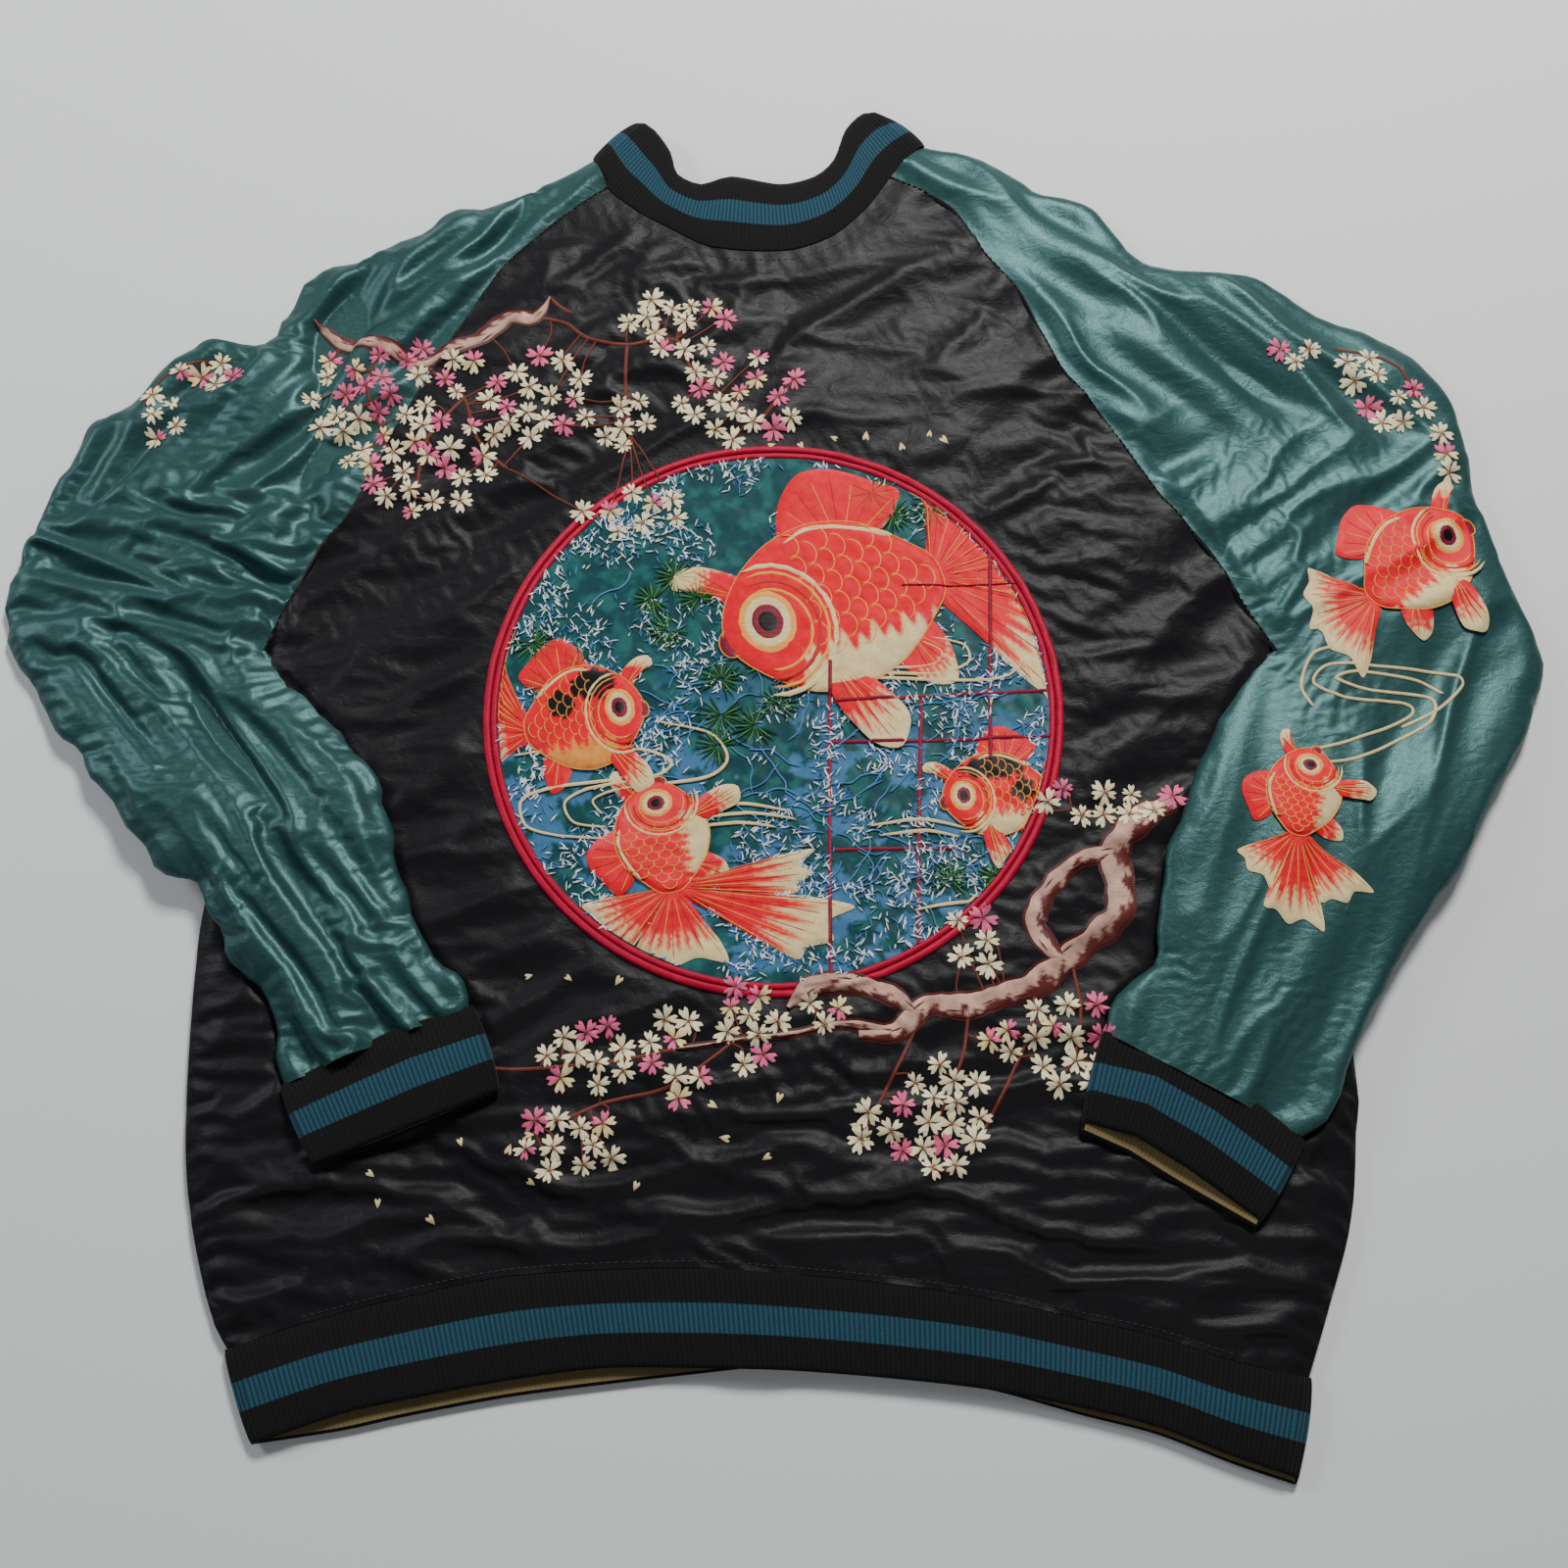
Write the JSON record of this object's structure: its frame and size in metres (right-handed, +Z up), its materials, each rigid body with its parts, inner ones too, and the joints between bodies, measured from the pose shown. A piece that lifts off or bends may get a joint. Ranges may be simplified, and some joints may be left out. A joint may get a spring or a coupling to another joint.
{
  "type": "souvenir jacket",
  "caption": "Lined satin bomber jacket lying back up, sleeves folded in: raglan sleeves, striped knitted bands, front zip, round embroidered goldfish picture and blossom branches.",
  "frame": {"origin": "centre of the underside of the jacket's bounding box, on the surface it lies on", "axes": "+Z up out of the jacket's back, +Y towards the collar, +X towards the viewer's right when the collar is at the top, which is the wearer's right sleeve"},
  "size_m": [0.9576, 0.8676, 0.0242],
  "materials": {
    "black_satin": "satin",
    "teal_satin": "satin",
    "black_rib_knit": "matte ribbed knit with a teal-blue stripe",
    "olive_rib_knit": "matte ribbed knit",
    "lining_satin": "satin",
    "zip_tape": "matte",
    "zip_metal": "satin",
    "stitched_ground": "matte stitching",
    "crimson_thread": "satin stitch",
    "goldfish_thread": "satin stitch",
    "branch_thread": "satin stitch"
  },
  "bodies": {
    "torso": {"back_panel": "black_satin", "branch_lower": "branch_thread", "branch_upper": "branch_thread", "collar_rib": "black_rib_knit", "collar_rib_lining": "olive_rib_knit", "front_panel_left": "black_satin", "front_panel_right": "black_satin", "goldfish_large": "goldfish_thread", "goldfish_lower": "goldfish_thread", "goldfish_small": "goldfish_thread", "goldfish_spotted": "goldfish_thread", "hem_rib": "black_rib_knit", "hem_rib_lining": "olive_rib_knit", "insertion_pin": "zip_metal", "lining_back": "lining_satin", "lining_front_left": "lining_satin", "lining_front_right": "lining_satin", "medallion_border": "crimson_thread", "medallion_patch": "stitched_ground", "pocket_bag_left": "black_satin", "pocket_bag_right": "black_satin", "pocket_welt_left": "black_satin", "pocket_welt_right": "black_satin", "retainer_box": "zip_metal", "sleeve_goldfish_upper": "goldfish_thread", "top_stop_left": "zip_metal", "top_stop_right": "zip_metal", "upper_sleeve_left_back": "teal_satin", "upper_sleeve_left_front": "teal_satin", "upper_sleeve_left_lining": "lining_satin", "upper_sleeve_right_back": "teal_satin", "upper_sleeve_right_front": "teal_satin", "upper_sleeve_right_lining": "lining_satin", "window_lattice": "crimson_thread", "zipper_tape_left": "zip_tape", "zipper_tape_right": "zip_tape", "zipper_teeth_left": "zip_metal", "zipper_teeth_right": "zip_metal"},
    "forearm_left": {"cuff_left_lining": "olive_rib_knit", "cuff_left_rib": "black_rib_knit", "forearm_left_back": "teal_satin", "forearm_left_front": "teal_satin", "forearm_left_lining": "lining_satin"},
    "forearm_right": {"cuff_right_lining": "olive_rib_knit", "cuff_right_rib": "black_rib_knit", "forearm_right_back": "teal_satin", "forearm_right_front": "teal_satin", "forearm_right_lining": "lining_satin", "sleeve_goldfish_lower": "goldfish_thread"},
    "slider": {"zip_slider": "zip_metal"},
    "pull": {"pull_tab": "zip_metal"}
  },
  "joints": [
    {"name": "elbow_fold_left", "type": "hinge", "parent": "torso", "child": "forearm_left", "pos_m": [-0.3965, 0.046, 0.0152], "axis": [-1, 0, 0], "range_deg": [0, 150]},
    {"name": "elbow_fold_right", "type": "hinge", "parent": "torso", "child": "forearm_right", "pos_m": [0.396, 0.046, 0.0152], "axis": [-1, 0, 0], "range_deg": [0, 150]},
    {"name": "zip_slide", "type": "slide", "parent": "torso", "child": "slider", "axis": [0, -1, 0], "range_m": [0, 0.66]},
    {"name": "pull_swing", "type": "hinge", "parent": "slider", "child": "pull", "pos_m": [-0.008, 0.3165, 0.0018], "axis": [1, 0, 0], "range_deg": [0, 175]}
  ]
}
